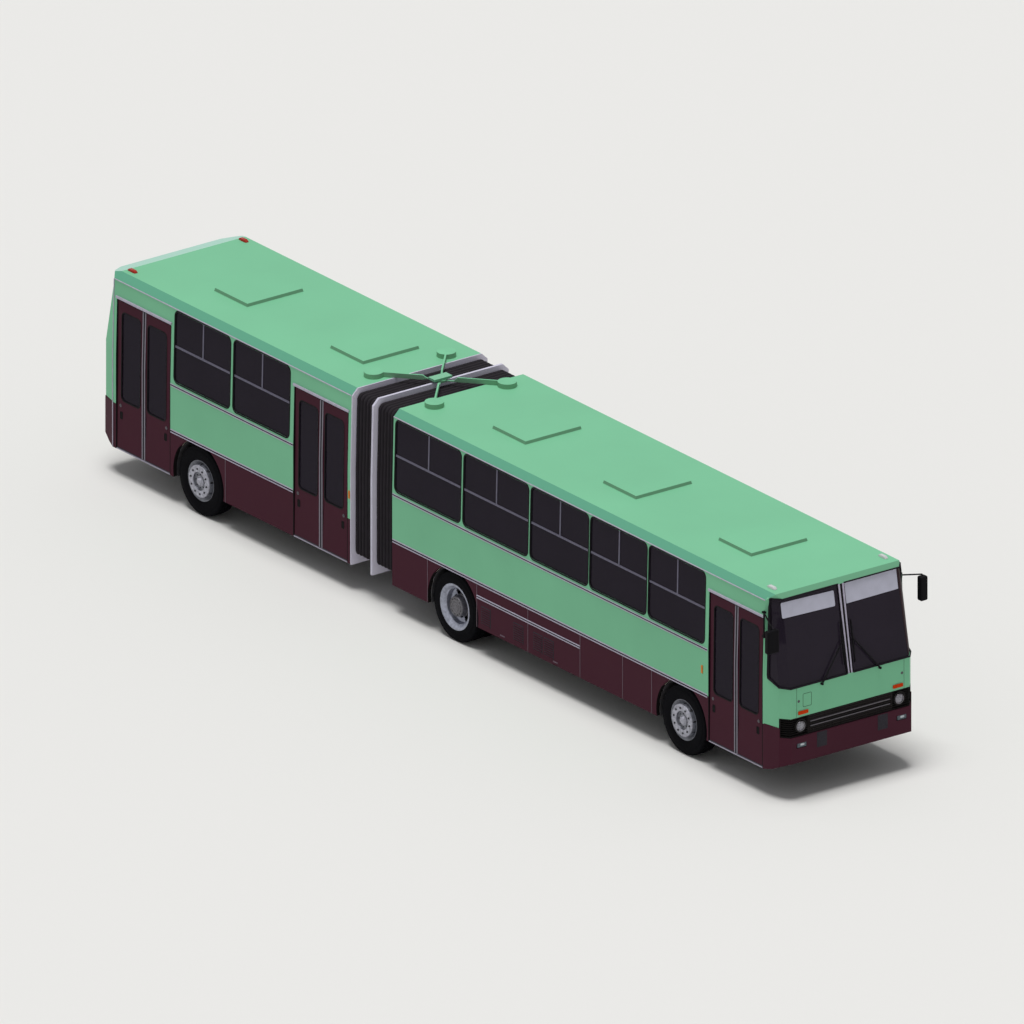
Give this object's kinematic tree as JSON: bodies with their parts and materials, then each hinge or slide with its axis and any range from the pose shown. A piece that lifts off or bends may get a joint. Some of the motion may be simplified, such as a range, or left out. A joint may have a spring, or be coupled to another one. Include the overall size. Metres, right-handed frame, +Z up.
{
  "type": "articulated bus",
  "caption": "Two-section city bus with a folding bellows joint, crossed roof links, double-leaf doors that swing inwards and steered front and rear axles.",
  "frame": {"origin": "on the ground under the middle of the bus, at the tyres' contact height", "axes": "+X towards the front of the bus, +Y to its left, +Z up"},
  "size_m": [16.512, 2.982, 3.215],
  "materials": {
    "body_paint": "gloss green enamel",
    "lower_paint": "gloss maroon enamel",
    "roof_paint": "satin green enamel",
    "window_glass": "tinted safety glass",
    "frame_steel": "matt black chassis paint",
    "tyre_rubber": "matt rubber",
    "bellows_fabric": "matt coated fabric",
    "lamp_lens": "clear lens",
    "black_plastic": "matt black",
    "seat_cloth": "brown leatherette",
    "engine_iron": "painted iron",
    "hoop_metal": "grey enamel",
    "wheel_steel": "silver enamel",
    "trim_metal": "satin aluminium"
  },
  "bodies": {
    "front_section": {"front_wall_right": "body_paint", "front_wall_left": "body_paint", "front_windows": "window_glass", "nose_panel": "body_paint", "windscreen": "window_glass", "front_bumper": "lower_paint", "grille": "black_plastic", "front_lamps": "lamp_lens", "front_roof": "roof_paint", "front_hatches": "roof_paint", "front_floor": "frame_steel", "front_hoop": "hoop_metal", "bellows_front": "bellows_fabric", "roof_link_front": "roof_paint", "engine": "engine_iron", "front_axle": "frame_steel", "drive_axle": "frame_steel", "front_seats": "seat_cloth", "driver_place": "black_plastic", "mirrors": "black_plastic", "wipers": "black_plastic"},
    "articulation_ring": {"middle_hoop": "hoop_metal", "turntable": "hoop_metal"},
    "rear_section": {"rear_wall_right": "body_paint", "rear_wall_left": "body_paint", "rear_windows": "window_glass", "tail_panel": "body_paint", "rear_lamps": "lamp_lens", "rear_roof": "roof_paint", "rear_hatches": "roof_paint", "rear_floor": "frame_steel", "rear_hoop": "hoop_metal", "bellows_rear": "bellows_fabric", "roof_link_rear": "roof_paint", "rear_axle": "frame_steel", "rear_seats": "seat_cloth"},
    "front_knuckle_right": {"front_knuckle_right": "frame_steel"},
    "front_wheel_right": {"front_wheel_right": "tyre_rubber"},
    "front_knuckle_left": {"front_knuckle_left": "frame_steel"},
    "front_wheel_left": {"front_wheel_left": "tyre_rubber"},
    "rear_knuckle_right": {"rear_knuckle_right": "frame_steel"},
    "rear_wheel_right": {"rear_wheel_right": "tyre_rubber"},
    "rear_knuckle_left": {"rear_knuckle_left": "frame_steel"},
    "rear_wheel_left": {"rear_wheel_left": "tyre_rubber"},
    "drive_wheels_right": {"drive_wheels_right": "tyre_rubber"},
    "drive_wheels_left": {"drive_wheels_left": "tyre_rubber"},
    "front_door_front_leaf": {"front_door_front_leaf": "lower_paint", "front_door_front_post": "frame_steel"},
    "front_door_rear_leaf": {"front_door_rear_leaf": "lower_paint", "front_door_rear_post": "frame_steel"},
    "middle_door_front_leaf": {"middle_door_front_leaf": "lower_paint", "middle_door_front_post": "frame_steel"},
    "middle_door_rear_leaf": {"middle_door_rear_leaf": "lower_paint", "middle_door_rear_post": "frame_steel"},
    "rear_door_front_leaf": {"rear_door_front_leaf": "lower_paint", "rear_door_front_post": "frame_steel"},
    "rear_door_rear_leaf": {"rear_door_rear_leaf": "lower_paint", "rear_door_rear_post": "frame_steel"}
  },
  "joints": [
    {"name": "articulation_front", "type": "hinge", "parent": "front_section", "child": "articulation_ring", "pos_m": [-1.685, 0, 0.9], "axis": [0, 0, 1], "range_deg": [-18, 18], "deforming": ["bellows_front"]},
    {"name": "articulation_rear", "type": "hinge", "parent": "articulation_ring", "child": "rear_section", "pos_m": [-1.685, 0, 0.9], "axis": [0, 0, 1], "range_deg": [-18, 18], "deforming": ["bellows_rear"]},
    {"name": "front_steer_right", "type": "hinge", "parent": "front_section", "child": "front_knuckle_right", "pos_m": [5.81, -0.95, 0.535], "axis": [0, 0, 1], "range_deg": [-35, 35]},
    {"name": "front_spin_right", "type": "hinge", "parent": "front_knuckle_right", "child": "front_wheel_right", "pos_m": [5.81, -1.075, 0.535], "axis": [0, 1, 0], "continuous": true},
    {"name": "front_steer_left", "type": "hinge", "parent": "front_section", "child": "front_knuckle_left", "pos_m": [5.81, 0.95, 0.535], "axis": [0, 0, 1], "range_deg": [-35, 35]},
    {"name": "front_spin_left", "type": "hinge", "parent": "front_knuckle_left", "child": "front_wheel_left", "pos_m": [5.81, 1.075, 0.535], "axis": [0, 1, 0], "continuous": true},
    {"name": "rear_steer_right", "type": "hinge", "parent": "rear_section", "child": "rear_knuckle_right", "pos_m": [-5.86, -0.95, 0.535], "axis": [0, 0, 1], "range_deg": [-13, 13]},
    {"name": "rear_spin_right", "type": "hinge", "parent": "rear_knuckle_right", "child": "rear_wheel_right", "pos_m": [-5.86, -1.075, 0.535], "axis": [0, 1, 0], "continuous": true},
    {"name": "rear_steer_left", "type": "hinge", "parent": "rear_section", "child": "rear_knuckle_left", "pos_m": [-5.86, 0.95, 0.535], "axis": [0, 0, 1], "range_deg": [-13, 13]},
    {"name": "rear_spin_left", "type": "hinge", "parent": "rear_knuckle_left", "child": "rear_wheel_left", "pos_m": [-5.86, 1.075, 0.535], "axis": [0, 1, 0], "continuous": true},
    {"name": "drive_spin_right", "type": "hinge", "parent": "front_section", "child": "drive_wheels_right", "pos_m": [0.29, -1.075, 0.535], "axis": [0, 1, 0], "continuous": true},
    {"name": "drive_spin_left", "type": "hinge", "parent": "front_section", "child": "drive_wheels_left", "pos_m": [0.29, 1.075, 0.535], "axis": [0, 1, 0], "continuous": true},
    {"name": "front_door_open", "type": "hinge", "parent": "front_section", "child": "front_door_front_leaf", "pos_m": [7.732, -1.162, 0.44], "axis": [0, 0, -1], "range_deg": [0, 85]},
    {"name": "front_door_rear_swing", "type": "hinge", "parent": "front_section", "child": "front_door_rear_leaf", "pos_m": [6.496, -1.162, 0.44], "axis": [0, 0, 1], "range_deg": [0, 85]},
    {"name": "middle_door_open", "type": "hinge", "parent": "rear_section", "child": "middle_door_front_leaf", "pos_m": [-2.297, -1.162, 0.44], "axis": [0, 0, -1], "range_deg": [0, 85]},
    {"name": "middle_door_rear_swing", "type": "hinge", "parent": "rear_section", "child": "middle_door_rear_leaf", "pos_m": [-3.533, -1.162, 0.44], "axis": [0, 0, 1], "range_deg": [0, 85]},
    {"name": "rear_door_open", "type": "hinge", "parent": "rear_section", "child": "rear_door_front_leaf", "pos_m": [-6.58, -1.162, 0.44], "axis": [0, 0, -1], "range_deg": [0, 85]},
    {"name": "rear_door_rear_swing", "type": "hinge", "parent": "rear_section", "child": "rear_door_rear_leaf", "pos_m": [-7.816, -1.162, 0.44], "axis": [0, 0, 1], "range_deg": [0, 85]}
  ],
  "couplings": [
    {"joint": "articulation_rear", "follows": "articulation_front", "ratio": 1},
    {"joint": "front_steer_left", "follows": "front_steer_right", "ratio": 1},
    {"joint": "rear_steer_right", "follows": "articulation_front", "ratio": 0.7},
    {"joint": "rear_steer_left", "follows": "articulation_front", "ratio": 0.7},
    {"joint": "front_door_rear_swing", "follows": "front_door_open", "ratio": 1},
    {"joint": "middle_door_rear_swing", "follows": "middle_door_open", "ratio": 1},
    {"joint": "rear_door_rear_swing", "follows": "rear_door_open", "ratio": 1}
  ]
}
